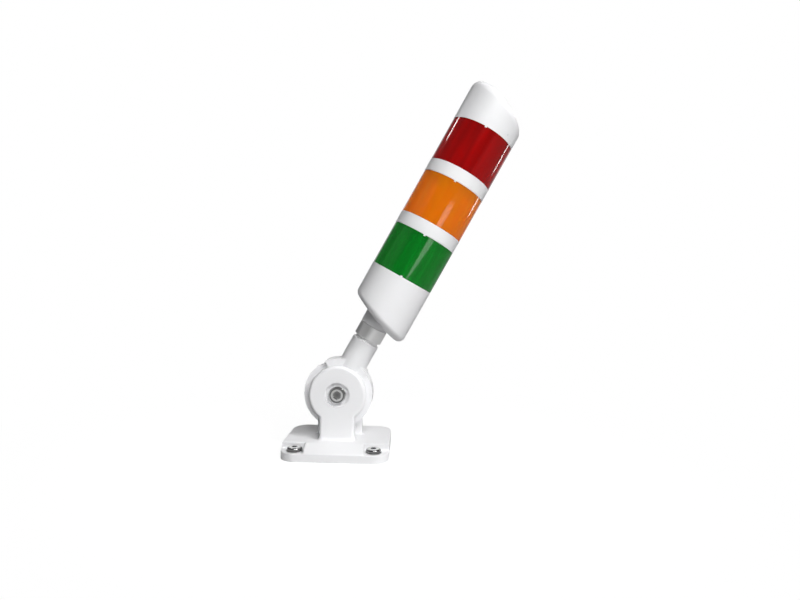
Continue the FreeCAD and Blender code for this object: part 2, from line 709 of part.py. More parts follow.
def make_housing():
    slanted = slant_block("housing_slant_block", "housing_middle", "housing_slant", above=False)
    stock = cylinder("housing_stock", "tower_radius", "collar_bottom", "housing_top - collar_bottom")
    blank = cut("housing_blank", stock, slanted)
    shell = fillet("housing_shell", blank, "housing_round",
                   lambda e: e.BoundBox.ZMax < size["housing_top"] - 1
                   and e.BoundBox.XLength > size["tower_radius"] and e.BoundBox.ZLength > 1)
    boss_bottom = "(collar_bottom + collar_height)"
    boss = cylinder("boss", "collar_radius", boss_bottom, f"{nut_pad_top} - {boss_bottom}")
    boss_edge = fillet("boss_edge", boss, "boss_round",
                       lambda e: near(e.BoundBox.ZMax, size["collar_bottom"] + size["collar_height"]))

    # what the inside leaves standing: the nut's pad, the cover screw's pad and the base plate's ledge
    room = cylinder("room", "tower_radius - shell_wall", "collar_bottom", "housing_top")
    floor = slant_block("floor_block", "housing_middle + floor_wall/cos(housing_slant)", "housing_slant",
                        above=False)
    nut_pad = cylinder("nut_pad_block", "nut_pad", "collar_bottom", f"{nut_pad_top} - collar_bottom")
    pad_x, pad_z = cover_axis("0")
    cover_pad = tilted_cylinder("cover_pad_block", "cover_pad", "floor_wall + cover_pad_height", pad_x, pad_z,
                                "housing_slant")
    ledge_top = f"({board_bottom(GREEN)} - base_height)"
    ledge = cut("ledge", cylinder("ledge_stock", "tower_radius", f"{ledge_top} - ledge_height", "ledge_height"),
                cylinder("ledge_hole", "ledge_bore", f"{ledge_top} - 2*ledge_height", "3*ledge_height"))
    left_standing = fuse("left_standing", [floor, nut_pad, cover_pad, ledge])
    inside = cut("housing_inside", room, left_standing)

    rim = cylinder("housing_rebate", rebate, f"housing_top - {rebate_depth}", rebate_depth + " + 1")
    bore = cylinder("boss_bore", "upper_thread + thread_gap", "collar_bottom", nut_pad_top)
    sink_x, sink_z = cover_axis("-tower_radius")
    sink = tilted_cylinder("cover_sink", "cover_recess", "tower_radius + cover_head_height", sink_x, sink_z,
                           "housing_slant")
    way = tilted_cylinder("cover_way", "cover_radius + fit_gap", "cover_length + cover_head_height",
                          pad_x, pad_z, "housing_slant")
    solid = fuse("housing_solid", [shell, boss_edge, tab_block("housing_tab", "housing_top", 1)])
    tools = fuse("housing_tools", [inside, rim, bore, sink, way])
    tab = tab_block("housing_tab_kept", "housing_top", 1)
    hollow = cut("housing_hollow", solid, tools)
    housing = fuse("lower_housing", [hollow, tab])
    lean_over(housing)
    keep(housing, "lower_housing")

    # cover screw: from the recess in the slanted face into the base plate's leg
    screw = new_body("housing_screw", "tower")
    head_top = "(cover_head_height)"
    sketch = new_sketch(screw, "screw_outline", "XZ_Plane")
    polygon(sketch, [("0", "0"), ("cover_head*0.8", "0"), ("cover_head", "cover_head_height*0.35"),
                     ("cover_head", head_top), ("cover_radius", head_top),
                     ("cover_radius", f"{head_top} + cover_length"), ("0", f"{head_top} + cover_length")])
    turn(screw, "Revolution", "screw", sketch)
    cross = new_sketch(screw, "cross_outline")
    arm, blade = "(cover_head*0.55)", "(cover_head*0.13)"
    polygon(cross, [(arm, blade), (blade, blade), (blade, arm), (f"-{blade}", arm), (f"-{blade}", blade),
                    (f"-{arm}", blade), (f"-{arm}", f"-{blade}"), (f"-{blade}", f"-{blade}"),
                    (f"-{blade}", f"-{arm}"), (blade, f"-{arm}"), (blade, f"-{blade}"), (arm, f"-{blade}")])
    pocket(screw, "cross", cross, "cover_head_height*0.55", backward=True)
    bind(screw, "Placement.Rotation.Angle", "lean + housing_slant")
    bind(screw, "Placement.Base.x", f"({pad_x} + socket_aside)*cos(lean) + {pad_z}*sin(lean)")
    bind(screw, "Placement.Base.z", f"pivot_height - ({pad_x} + socket_aside)*sin(lean) + {pad_z}*cos(lean)")
    keep(screw, "housing_screw")


# Base plate: closes the housing, holds the stack's rods and stands on the cover screw's leg

def rod_places():
    return [f"(rod_start + {i}*360/rod_count)" for i in range(int(size["rod_count"]))]


def make_base_plate():
    top = board_bottom(GREEN)
    bottom = f"({top} - base_height)"
    disc = cylinder("base_disc", "tower_radius - shell_wall - fit_gap", bottom, "base_height")
    leg_x, leg_z = cover_axis("floor_wall + cover_pad_height")
    reach = "(housing_top - housing_middle)/cos(housing_slant)"
    leg = tilted_cylinder("leg_stock", "leg_radius", reach, leg_x, leg_z, "housing_slant")
    below = cylinder("leg_room", "tower_radius", "collar_bottom", f"{bottom} + base_height/2 - collar_bottom")
    legs = common("leg", [leg, below])
    pilot_x, pilot_z = cover_axis("0")
    pilot = tilted_cylinder("pilot", "cover_radius + cover_pilot_gap", "cover_length + cover_head_height + 1",
                            pilot_x, pilot_z, "housing_slant")
    holes = [cylinder(f"base_rod_hole_{i}", "rod_radius + rod_gap", f"{bottom} - 1", "base_height + 2",
                      f"rod_circle*cos({angle})", f"rod_circle*sin({angle})")
             for i, angle in enumerate(rod_places())]
    wires = cylinder("wire_hole", "column_bore", f"{bottom} - 1", "base_height + 2")
    plate = cut("base_plate", fuse("base_solid", [disc, legs]), fuse("base_tools", [pilot, wires] + holes))
    lean_over(plate)
    keep(plate, "base_plate")


def make_terminal_block():
    body = new_body("terminal_block", "tower")
    under = f"({board_bottom(GREEN)} - base_height)"
    middle = "(column_bore + terminal_depth/2 + 1)"
    block = new_sketch(body, "block_outline", offset=f"{under} - terminal_height")
    half_x, half_y = "terminal_depth/2", "terminal_width/2"
    polygon(block, [(f"{middle} + {half_x}", half_y), (f"{middle} - {half_x}", half_y),
                    (f"{middle} - {half_x}", f"-{half_y}"), (f"{middle} + {half_x}", f"-{half_y}")])
    pad(body, "block", block, "terminal_height")
    screws = new_sketch(body, "screw_outline", offset=f"{under} - terminal_height")
    ways = int(size["terminal_ways"])
    for i in range(ways):
        circle(screws, "terminal_screw", middle, f"terminal_width*({i} - (terminal_ways - 1)/2)/terminal_ways")
    pocket(body, "screws", screws, "terminal_screw_depth", backward=True)
    keep(body, "terminal_block")


# Lenses: clear coloured tubes with a spigot at each end and fine ribs inside

def make_lens(tier, label):
    body = new_body(label, "tower")
    low = lens_bottom(tier)
    high = ring_bottom(tier)
    revolve(body, "tube", [
        (spigot_inner, f"{low} - spigot_depth"), (spigot_outer, f"{low} - spigot_depth"), (spigot_outer, low),
        ("tower_radius - joint_bevel", low), ("tower_radius", f"{low} + joint_bevel"),
        ("tower_radius", f"{high} - joint_bevel"), ("tower_radius - joint_bevel", high), (spigot_outer, high),
        (spigot_outer, f"{high} + spigot_depth"), (spigot_inner, f"{high} + spigot_depth")])
    rib = new_sketch(body, "rib_outline", offset=f"{low}")
    circle(rib, "rib_radius", f"{spigot_inner} + rib_radius/4", 0)
    first = pad(body, "rib", rib, "lens_height")
    repeat_round(body, "ribs", first, "rib_count")
    slots = new_sketch(body, "slot_outline", "XZ_Plane", offset=f"{spigot_outer} - 0.2")
    half = "(tab_width/2 + fit_gap)"
    ends = [(f"({high})", "-")] + ([(low, "+")] if tier == GREEN else [])
    for edge, inward in ends:
        deep = f"{edge} {inward} (tab_height + fit_gap)"
        out = f"{edge} {'+' if inward == '-' else '-'} 0.5"
        polygon(slots, [(half, deep), (f"-{half}", deep), (f"-{half}", out), (half, out)])
    pocket(body, "slots", slots, "tower_radius", backward=True)
    keep(body, label)


# Spacer rings: a white band with a rebate at each end and a ledge inside for the next board

def make_ring(tier, label):
    body = new_body(label, "tower")
    low = ring_bottom(tier)
    high = lens_bottom(tier + 1)
    revolve(body, "band", [
        (rebate, low), ("tower_radius - joint_bevel", low), ("tower_radius", f"{low} + joint_bevel"),
        ("tower_radius", f"{high} - joint_bevel"), ("tower_radius - joint_bevel", high), (rebate, high),
        (rebate, f"{high} - {rebate_depth}"), ("ledge_bore", f"{high} - {rebate_depth}"),
        ("ledge_bore", f"{low} + {rebate_depth}"), (rebate, f"{low} + {rebate_depth}")])
    tab = new_sketch(body, "tab_outline", "XZ_Plane", offset=rebate)
    polygon(tab, [("tab_width/2", f"{low} + spigot_depth/2"), ("-tab_width/2", f"{low} + spigot_depth/2"),
                  ("-tab_width/2", f"{low} - tab_height"), ("tab_width/2", f"{low} - tab_height")])
    pad(body, "tab", tab, f"tower_radius - {rebate} - 0.1")
    keep(body, label)


# Top cap: a shell with a slanted, rounded top and three posts for the rods

def make_cap():
    low = ring_bottom(RED)
    stock = cylinder("cap_stock", "tower_radius", low, "tower_radius*3")
    roof = slant_block("cap_slant_block", "cap_middle", "cap_slant", above=True)
    blank = cut("cap_blank", stock, roof)
    shell = fillet("cap_shell", blank, "cap_round",
                   lambda e: e.BoundBox.ZLength > 1 and e.BoundBox.XLength > size["tower_radius"])
    room = cylinder("cap_room", "tower_radius - shell_wall", f"{low} - 1", "tower_radius*3")
    ceiling = slant_block("ceiling_block", "cap_middle - cap_wall/cos(cap_slant)", "cap_slant", above=True)
    posts = [cylinder(f"post_{i}", "post_radius", f"{low} + post_height", "tower_radius*2",
                      f"rod_circle*cos({angle})", f"rod_circle*sin({angle})")
             for i, angle in enumerate(rod_places())]
    inner_blank = cut("cap_inner_blank", room, ceiling)
    inner_bevel = bevel("cap_inner", inner_blank, "cap_inner_bevel",
                        lambda e: e.BoundBox.ZLength > 1 and e.BoundBox.XLength > size["tower_radius"])
    inside = cut("cap_inside", inner_bevel, fuse("posts", posts))
    rim = cylinder("cap_rebate", rebate, f"{low} - 1", rebate_depth + " + 1")
    pilots = [cylinder(f"rod_pilot_{i}", "rod_radius + fit_gap", f"{low} + post_height - 1", "rod_grip + 1.5",
                       f"rod_circle*cos({angle})", f"rod_circle*sin({angle})")
              for i, angle in enumerate(rod_places())]
    hollow = cut("cap_hollow", shell, fuse("cap_tools", [inside, rim] + pilots))
    cap = fuse("top_cap", [hollow, tab_block("cap_tab", low, -1)])
    lean_over(cap)
    keep(cap, "top_cap")


# Boards, columns and LEDs of one tier

def make_board(tier, label):
    body = new_body(label, "tower")
    board = new_sketch(body, "board_outline", offset=board_bottom(tier))
    circle(board, f"{spigot_inner} - rib_radius - board_gap")
    circle(board, "column_bore")
    for angle in rod_places():
        circle(board, "rod_radius + rod_gap", f"rod_circle*cos({angle})", f"rod_circle*sin({angle})")
    pad(body, "board", board, "board_height")
    keep(body, label)


def make_column(tier, label):
    body = new_body(label, "tower")
    bottom = f"({board_bottom(tier)} + board_height)"
    outline = new_sketch(body, "column_outline", offset=bottom)
    hexagon(outline, "column_flats")
    circle(outline, "column_bore")
    pad(body, "column", outline, "column_height")
    keep(body, label)


def make_leds(tier, label):
    bottom = value_of(board_bottom(tier)) + size["board_height"]
    middle = bottom + size["column_height"] / 2
    rows = int(size["led_rows"])
    leds = []
    for face in range(6):
        for level in range(rows):
            lift = middle + (level - (rows - 1) / 2) * size["led_pitch"] - size["led_height"] / 2
            led = Part.makeBox(size["led_depth"], size["led_width"], size["led_height"],
                               Vector(size["column_flats"] / 2, -size["led_width"] / 2, lift))
            led.rotate(Vector(0, 0, 0), Vector(0, 0, 1), face * 60)
            leds.append(led)
    keep(group(label, leds, "tower"), label)


# Tie rods: long screws from under the base plate up into the cap's posts

def make_rods():
    under = value_of(board_bottom(GREEN)) - size["base_height"]
    end = value_of(ring_bottom(RED)) + size["post_height"] + size["rod_grip"]
    rods = []
    for i in range(int(size["rod_count"])):
        angle = math.radians(size["rod_start"] + i * 360 / size["rod_count"])
        place = Vector(size["rod_circle"] * math.cos(angle), size["rod_circle"] * math.sin(angle), under)
        head = Part.makeCylinder(size["rod_head"], size["rod_head_height"],
                                 place - Vector(0, 0, size["rod_head_height"]))
        rod = Part.makeCylinder(size["rod_radius"], end - under, place)
        rods.append(head.fuse(rod).removeSplitter())
    keep(group("tie_rods", rods, "tower"), "tie_rods")


make_bracket()
make_fixings()
make_pivot()
make_knuckle()
make_friction_discs()
make_collar()
make_housing()
make_base_plate()
make_terminal_block()
for tier, colour in enumerate(("green", "orange", "red")):
    make_lens(tier, colour + "_lens")
    make_board(tier, colour + "_board")
    make_column(tier, colour + "_led_column")
    make_leds(tier, colour + "_leds")
make_ring(GREEN, "lower_ring")
make_ring(ORANGE, "upper_ring")
make_cap()
make_rods()

doc.recompute()
for item in doc.Objects:
    if {"Invalid", "Error"} & set(item.State):
        raise RuntimeError(f"{item.Label} failed: {item.State}")
for piece in pieces:
    if piece.Shape.isNull() or not piece.Shape.isValid():
        raise RuntimeError(f"{piece.Label} has no valid shape")
os.makedirs("parts", exist_ok=True)
for piece in pieces:
    piece.Shape.exportStep(f"parts/{piece.Label}.step")
    print(f"{piece.Label}: {len(piece.Shape.Solids)} solids, {piece.Shape.Volume / 1000:.2f} cm3")
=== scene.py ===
# Stack light on a folding bracket: finishes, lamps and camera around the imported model
import json
import math

import bmesh
import bpy
from mathutils import Matrix, Vector


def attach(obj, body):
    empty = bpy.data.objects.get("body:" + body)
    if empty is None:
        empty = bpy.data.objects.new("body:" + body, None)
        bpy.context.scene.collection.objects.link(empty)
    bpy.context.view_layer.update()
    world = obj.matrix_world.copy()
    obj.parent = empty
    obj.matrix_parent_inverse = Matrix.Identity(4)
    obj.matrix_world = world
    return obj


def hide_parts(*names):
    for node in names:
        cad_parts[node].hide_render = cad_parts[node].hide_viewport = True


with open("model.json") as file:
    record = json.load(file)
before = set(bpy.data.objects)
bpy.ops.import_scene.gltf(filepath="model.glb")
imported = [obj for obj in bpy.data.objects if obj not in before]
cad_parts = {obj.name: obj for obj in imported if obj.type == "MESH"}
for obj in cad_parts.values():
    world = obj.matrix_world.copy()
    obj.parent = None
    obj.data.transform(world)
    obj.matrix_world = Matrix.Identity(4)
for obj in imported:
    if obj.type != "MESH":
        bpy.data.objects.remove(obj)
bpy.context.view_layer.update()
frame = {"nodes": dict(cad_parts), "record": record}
print("frame loaded:", len(frame["nodes"]), "nodes")

# The tower is drawn upright about the fold and then leans over
tower = {"pivotHeight": 0.045, "aside": -0.0015, "lean": math.radians(28.5)}

towerFoot = (tower["aside"] * math.cos(tower["lean"]), 0,
             tower["pivotHeight"] - tower["aside"] * math.sin(tower["lean"]))


class Wire:
    # an output socket that can be used in sums
    def __init__(self, finish, socket):
        self.finish = finish
        self.socket = socket

    def __add__(self, other):
        return self.finish.calc("ADD", self, other)

    def __radd__(self, other):
        return self.finish.calc("ADD", other, self)

    def __sub__(self, other):
        return self.finish.calc("SUBTRACT", self, other)

    def __rsub__(self, other):
        return self.finish.calc("SUBTRACT", other, self)

    def __mul__(self, other):
        return self.finish.calc("MULTIPLY", self, other)

    def __truediv__(self, other):
        return self.finish.calc("DIVIDE", self, other)

    def __lt__(self, other):
        return self.finish.calc("LESS_THAN", self, other)

    def __gt__(self, other):
        return self.finish.calc("GREATER_THAN", self, other)

    # the same sum, held between 0 and 1
    def clamped(self):
        self.socket.node.use_clamp = True
        return self


class Finish:
    # one material, with its shader and the nodes that feed it
    def __init__(self, name, **constants):
        self.material = bpy.data.materials.new(name)
        self.material.use_nodes = True
        self.tree = self.material.node_tree
        self.shader = self.tree.nodes["Principled BSDF"]
        for socket, value in constants.items():
            self.shader.inputs[socket.replace("_", " ")].default_value = value

    def node(self, kind, settings=None, inputs=None, output=0):
        made = self.tree.nodes.new(kind)
        for key, value in (settings or {}).items():
            setattr(made, key, value)
        for key, value in (inputs or {}).items():
            self.feed(made.inputs[key], value)
        return Wire(self, made.outputs[output])

    def feed(self, socket, value):
        if isinstance(value, Wire):
            self.tree.links.new(value.socket, socket)
        elif value is not None:
            socket.default_value = value

    def set(self, **inputs):
        for socket, value in inputs.items():
            self.feed(self.shader.inputs[socket.replace("_", " ")], value)
        return self

    def calc(self, operation, first, second=None):
        return self.node("ShaderNodeMath", {"operation": operation}, {0: first, 1: second})

    def place(self):
        return self.node("ShaderNodeTexCoord", output="Object")

    # the place in the tower's own frame: across, to the rear, along
    def towerPlace(self):
        return self.node("ShaderNodeMapping", {"vector_type": "TEXTURE"},
                         {"Vector": self.place(), "Location": towerFoot,
                          "Rotation": (0, tower["lean"], 0)})

    def parts(self, vector):
        split = self.node("ShaderNodeSeparateXYZ", inputs={0: vector})
        outputs = split.socket.node.outputs
        return [Wire(self, outputs[i]) for i in range(3)]

    def joined(self, x, y, z):
        return self.node("ShaderNodeCombineXYZ", inputs={0: x, 1: y, 2: z})

    # how far a place lies from a spot
    def distance(self, vector, spot):
        return self.node("ShaderNodeVectorMath", {"operation": "DISTANCE"}, {0: vector, 1: spot},
                         output="Value")

    # how far a point of a plane lies from the plane's middle
    def reach(self, first, second):
        return self.calc("SQRT", first * first + second * second)

    # teeth, one to each whole number of turns
    def teeth(self, turns):
        return self.calc("PINGPONG", turns, 0.5)

    def noise(self, vector, scale, detail):
        return self.node("ShaderNodeTexNoise",
                         inputs={"Vector": vector, "Scale": scale, "Detail": detail})

    def mix(self, factor, first, second):
        made = self.tree.nodes.new("ShaderNodeMix")
        made.data_type = "RGBA"
        for index, value in ((0, factor), (6, first), (7, second)):
            self.feed(made.inputs[index], value)
        return Wire(self, made.outputs[2])

    def bump(self, height, distance, strength=1.0, normal=None):
        return self.node("ShaderNodeBump", inputs={"Height": height, "Distance": distance,
                                                   "Strength": strength, "Normal": normal})

    # colours along a ramp, from pairs of a place and a colour
    def ramp(self, factor, stops):
        made = self.node("ShaderNodeValToRGB", inputs={0: factor})
        elements = made.socket.node.color_ramp.elements
        while len(elements) < len(stops):
            elements.new(1)
        for element, (place, colour) in zip(elements, stops):
            element.position = place
            element.color = colour
        return made

    # the first shader where the share is 0, the second where it is 1
    def blend(self, share, first, second):
        return self.node("ShaderNodeMixShader", inputs={0: share, 1: first, 2: second})

    def light(self, kind, strength):
        return self.node(kind, inputs={"Color": grey(1.0), "Strength": strength})

    # whether a ray comes from the camera, off a shine or through clear plastic
    def rays(self):
        path = self.tree.nodes.new("ShaderNodeLightPath")
        return [Wire(self, path.outputs["Is %s Ray" % kind])
                for kind in ("Camera", "Glossy", "Transmission")]


def grey(level, tint=(1, 1, 1)):
    return tuple(level * part for part in tint) + (1,)


# Moulded white plastic, as on the bracket, housing, rings and cap
whitePlastic = {"level": 0.84, "tint": (0.995, 0.995, 1.01), "specular": 0.5, "ior": 1.5,
                "roughness": 0.42, "roughnessSpread": 0.12,
                "mottle": 25, "mottleDetail": 3, "mottleShare": 0.03,
                "grain": 900, "grainDetail": 2, "grainDepth": 0.00002, "grainStrength": 0.35,
                "markLevel": 0.6, "markStrength": 0.6}
# the mould's parting line, on the housing's side away from the lean
partingLine = {"halfWidth": 0.00018, "outFrom": -0.01, "depth": 0.0002, "shade": 0.35}
# the small gate mark on the cap, a dimple with painted shade in it, with its place across, to
# the rear and along
gateMark = {"place": (0.0167, -0.0186, 0.2294), "radius": 0.0008, "depth": 0.0003,
            "shade": 0.3}


def markParting(finish):
    across, back, along = finish.parts(finish.towerPlace())
    nearMiddle = finish.calc("ABSOLUTE", back) < partingLine["halfWidth"]
    return nearMiddle * (across < partingLine["outFrom"]), partingLine


def markGate(finish):
    away = finish.distance(finish.towerPlace(), gateMark["place"])
    return away < gateMark["radius"], gateMark


def makeWhite(name, mark=None):
    values = whitePlastic
    level, tint = values["level"], values["tint"]
    finish = Finish(name, Specular_IOR_Level=values["specular"], IOR=values["ior"])
    place = finish.place()
    mottle = finish.noise(place, values["mottle"], values["mottleDetail"])
    colour = finish.mix(mottle, grey(level * (1 - values["mottleShare"]), tint),
                        grey(level, tint))
    grain = finish.noise(place, values["grain"], values["grainDetail"])
    rough = values["roughness"] + (mottle - 0.5) * values["roughnessSpread"]
    normal = finish.bump(grain, values["grainDepth"], values["grainStrength"])
    if mark:
        marked, look = mark(finish)
        normal = finish.bump(1 - marked, look["depth"], values["markStrength"], normal)
        # a mark darkens the colour along it; at the gate mark this darkening is painted shade in
        # its dimple
        colour = finish.mix(marked * look["shade"], colour,
                            grey(level * values["markLevel"], tint))
    return finish.set(Base_Color=colour, Roughness=rough, Normal=normal).material


# Coloured lenses: clear plastic with soft upright streaks of painted shade, a darker copy of
# each lens colour, where the inner ribs blur the light
lensFinishes = {
    "red_lens": {"colour": (0.74, 0.0, 0.0), "deep": (0.32, 0.0, 0.0)},
    "orange_lens": {"colour": (1.0, 0.36, 0.0), "deep": (1.0, 0.24, 0.0)},
    "green_lens": {"colour": (0.0, 0.43, 0.03), "deep": (0.0, 0.22, 0.016)},
}
lensBody = {"streaks": 1.4, "streakDetail": 2, "around": 4.0, "alongAxis": 14.0,
            "roughness": 0.05, "roughnessSpread": 0.04, "transmission": 0.6, "specular": 0.1,
            "ior": 1.49}


def makeLens(name, values):
    finish = Finish(name, IOR=lensBody["ior"], Transmission_Weight=lensBody["transmission"],
                    Specular_IOR_Level=lensBody["specular"])
    across, back, along = finish.parts(finish.towerPlace())
    angle = finish.calc("ARCTAN2", back, across)
    unrolled = finish.joined(angle * lensBody["around"], along * lensBody["alongAxis"], 0.0)
    streaks = finish.noise(unrolled, lensBody["streaks"], lensBody["streakDetail"])
    # the streaks mix in the darker copy of the colour as painted shade
    colour = finish.mix(streaks, values["deep"] + (1,), values["colour"] + (1,))
    rough = lensBody["roughness"] + streaks * lensBody["roughnessSpread"]
    return finish.set(Base_Color=colour, Roughness=rough).material


# Turned aluminium, brushed round the axis, with a thread on its narrow ends
collarFinish = {"level": 0.8, "darkShare": 0.9, "roughness": 0.32, "roughnessSpread": 0.12,
                "turning": 3500, "turningAcross": 20, "turningDetail": 2,
                "turningDepth": 0.00007, "threadWithin": 0.0095, "threadPitch": 0.0015,
                "threadDepth": 0.0004}


def makeAluminium(name):
    values = collarFinish
    finish = Finish(name, Metallic=1.0)
    across, back, along = finish.parts(finish.towerPlace())
    drawnOut = finish.joined(across * values["turningAcross"], back * values["turningAcross"],
                             along * values["turning"])
    turning = finish.noise(drawnOut, 1.0, values["turningDetail"])
    threaded = finish.reach(across, back) < values["threadWithin"]
    angle = finish.calc("ARCTAN2", back, across)
    tooth = finish.teeth(along / values["threadPitch"] + angle / (2 * math.pi))
    normal = finish.bump(turning, values["turningDepth"])
    normal = finish.bump(tooth * threaded, values["threadDepth"], 1.0, normal)
    colour = finish.mix(turning, grey(values["level"] * values["darkShare"]),
                        grey(values["level"]))
    rough = values["roughness"] + turning * values["roughnessSpread"]
    return finish.set(Base_Color=colour, Roughness=rough, Normal=normal).material


# Chromed screws, and zinc plated nuts and rods
screwFinish = {"level": 0.7, "roughness": 0.1}
zincFinish = {"level": 0.5, "roughness": 0.32}
steelWear = {"wear": 220, "wearDetail": 4, "darkShare": 0.88, "roughnessSpread": 0.1,
             "grain": 1800, "grainDetail": 2, "grainDepth": 0.00001, "grainStrength": 0.2}
# rings of painted shade and painted highlight out from a head's middle, standing in for the
# chrome's reflections: radius, and share of the level
pivotHead = {"edge": 0.0065, "height": 0.045,
             "rings": ((0.0, 0.3), (0.0026, 0.5), (0.0033, 1.4), (0.0043, 1.4), (0.005, 0.15),
                       (0.006, 0.9))}
fixingHead = {"edge": 0.0055, "spots": (0.029, 0.0256),
              "rings": ((0.0, 0.9), (0.0014, 0.65), (0.0026, 1.0), (0.0042, 0.9), (0.005, 0.6),
                        (0.0055, 0.35))}
pivotThread = {"pitch": 0.00125, "start": 0.0146, "depth": 0.0005}


# how far a place lies from the middle of its screw's head
def headReach(finish, head, x, y, z):
    if "height" in head:
        return finish.reach(x, z - head["height"])
    sides = [finish.calc("ABSOLUTE", part) - spot for part, spot in zip((x, y), head["spots"])]
    return finish.reach(*sides)


def makeSteel(name, values, head=None, thread=None):
    finish = Finish(name, Metallic=1.0)
    place = finish.place()
    x, y, z = finish.parts(place)
    wear = finish.noise(place, steelWear["wear"], steelWear["wearDetail"])
    colour = finish.mix(wear, grey(values["level"] * steelWear["darkShare"]),
                        grey(values["level"]))
    rough = values["roughness"] + wear * steelWear["roughnessSpread"]
    grain = finish.noise(place, steelWear["grain"], steelWear["grainDetail"])
    normal = finish.bump(grain, steelWear["grainDepth"], steelWear["grainStrength"])
    if head:
        # the head's colour is darkened and brightened in rings: painted shade and painted
        # highlights for the chrome's reflections
        stops = [(radius / head["edge"], grey(share)) for radius, share in head["rings"]]
        shade = finish.ramp(headReach(finish, head, x, y, z) / head["edge"], stops)
        colour = finish.node("ShaderNodeVectorMath", {"operation": "MULTIPLY"},
                             {0: colour, 1: shade})
    if thread:
        tooth = finish.teeth(y / thread["pitch"]) * (y > thread["start"])
        normal = finish.bump(tooth, thread["depth"], 1.0, normal)
    return finish.set(Base_Color=colour, Roughness=rough, Normal=normal).material


# Plain inner pieces
innerFinishes = {
    "friction_disc": {"colour": (0.03, 0.03, 0.032), "roughness": 0.7},
    "inner_plastic": {"colour": (0.6, 0.6, 0.6), "roughness": 0.5},
    "terminal_plastic": {"colour": (0.02, 0.16, 0.05), "roughness": 0.45},
    "circuit_board": {"colour": (0.7, 0.72, 0.7), "roughness": 0.4},
    "led": {"colour": (0.85, 0.8, 0.55), "roughness": 0.2},
}
innerBody = {"speck": 600, "speckDetail": 3, "darkShare": 0.8, "roughnessSpread": 0.1}


def makeInner(name, values):
    finish = Finish(name)
    speck = finish.noise(finish.place(), innerBody["speck"], innerBody["speckDetail"])
    dark = tuple(innerBody["darkShare"] * part for part in values["colour"]) + (1,)
    colour = finish.mix(speck, dark, values["colour"] + (1,))
    rough = values["roughness"] + (speck - 0.5) * innerBody["roughnessSpread"]
    return finish.set(Base_Color=colour, Roughness=rough).material


# One finish for each material slot, and an own finish for each node that carries marks
slotFinishes = {
    "white_plastic": makeWhite("white_plastic_finish"),
    "satin_aluminium": makeAluminium("satin_aluminium_finish"),
    "chromed_steel": makeSteel("chromed_steel_finish", screwFinish),
    "zinc_steel": makeSteel("zinc_steel_finish", zincFinish),
}
for slotName, values in lensFinishes.items():
    slotFinishes[slotName] = makeLens(slotName + "_finish", values)
for slotName, values in innerFinishes.items():
    slotFinishes[slotName] = makeInner(slotName + "_finish", values)
nodeFinishes = {
    "lower_housing": makeWhite("housing_finish", markParting),
    "top_cap": makeWhite("cap_finish", markGate),
    "pivot_bolt": makeSteel("pivot_bolt_finish", screwFinish, pivotHead, pivotThread),
    "fixing_screws": makeSteel("fixing_screw_finish", screwFinish, fixingHead),
}
print("finishes made:", len(slotFinishes) + len(nodeFinishes))


# The arm's cable notch is drawn out to a shallow one, with its floor just under the rim, and
# its shoulder closes on the front ear to a hair's breadth. Floors and insides are distances
# from the fold's axis, and turns are in degrees from upright.
armNotch = {"floor": (0.0226, 0.0231), "endFloor": 0.0229, "newFloor": 0.0257,
            "turns": (-39.6, -21.4), "endTurn": 0.5}
armShoulder = {"inside": 0.0225, "newInside": 0.02195, "within": 0.00003, "front": -0.006}


def easeArm(work):
    inner, outer = armNotch["floor"]
    first, last = armNotch["turns"]
    for vert in work.verts:
        x, z = vert.co.x, vert.co.z - tower["pivotHeight"]
        radius, turn = math.hypot(x, z), math.degrees(math.atan2(x, z))
        middle = first + armNotch["endTurn"] < turn < last - armNotch["endTurn"]
        lowest = inner if middle else armNotch["endFloor"]
        grow = 1
        if lowest < radius < outer and first < turn < last:
            grow = armNotch["newFloor"] / outer
        elif (abs(radius - armShoulder["inside"]) < armShoulder["within"]
                and vert.co.y < armShoulder["front"]):
            grow = armShoulder["newInside"] / armShoulder["inside"]
        vert.co.x, vert.co.z = x * grow, z * grow + tower["pivotHeight"]


# Every piece keeps its model's surface, welded and shaded smooth up to its real edges
surface = {"weld": 1e-6, "sliver": 1e-7, "edgeAngle": math.radians(28)}


def dress(node, slotName, body):
    mesh = frame["nodes"][node].data.copy()
    mesh.name = node + "_skin"
    work = bmesh.new()
    work.from_mesh(mesh)
    bmesh.ops.remove_doubles(work, verts=work.verts, dist=surface["weld"])
    bmesh.ops.dissolve_degenerate(work, edges=work.edges, dist=surface["sliver"])
    if node == "knuckle_arm":
        easeArm(work)
    for face in work.faces:
        face.smooth = True
    for edge in work.edges:
        paired = len(edge.link_faces) == 2
        edge.smooth = paired and edge.calc_face_angle(0) < surface["edgeAngle"]
    work.to_mesh(mesh)
    work.free()
    mesh.materials.clear()
    mesh.materials.append(nodeFinishes.get(node) or slotFinishes[slotName])
    piece = bpy.data.objects.new(node + "_skin", mesh)
    bpy.context.collection.objects.link(piece)
    weighted = piece.modifiers.new("even shading", "WEIGHTED_NORMAL")
    weighted.keep_sharp = True
    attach(piece, body)
    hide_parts(node)


record = frame["record"]
slots = {entry["node"]: entry["material_slot"] for entry in record["subparts"]}
for body, members in record["behaviour"]["bodies"].items():
    for node in members:
        dress(node, slots[node], body)
print("pieces dressed:", len(slots))


# The floor, and the room round it
floorFinish = {"halfWidth": 6, "level": 0.5, "roughness": 0.9, "specular": 0.1, "gloss": 0.3,
               "shadowShare": 0.25, "shadowReach": 0.3, "litLevel": 0.25}
room = {"level": 0.11, "gloss": 0.16, "backdropEdge": 0.78, "backdropSoft": 0.1}


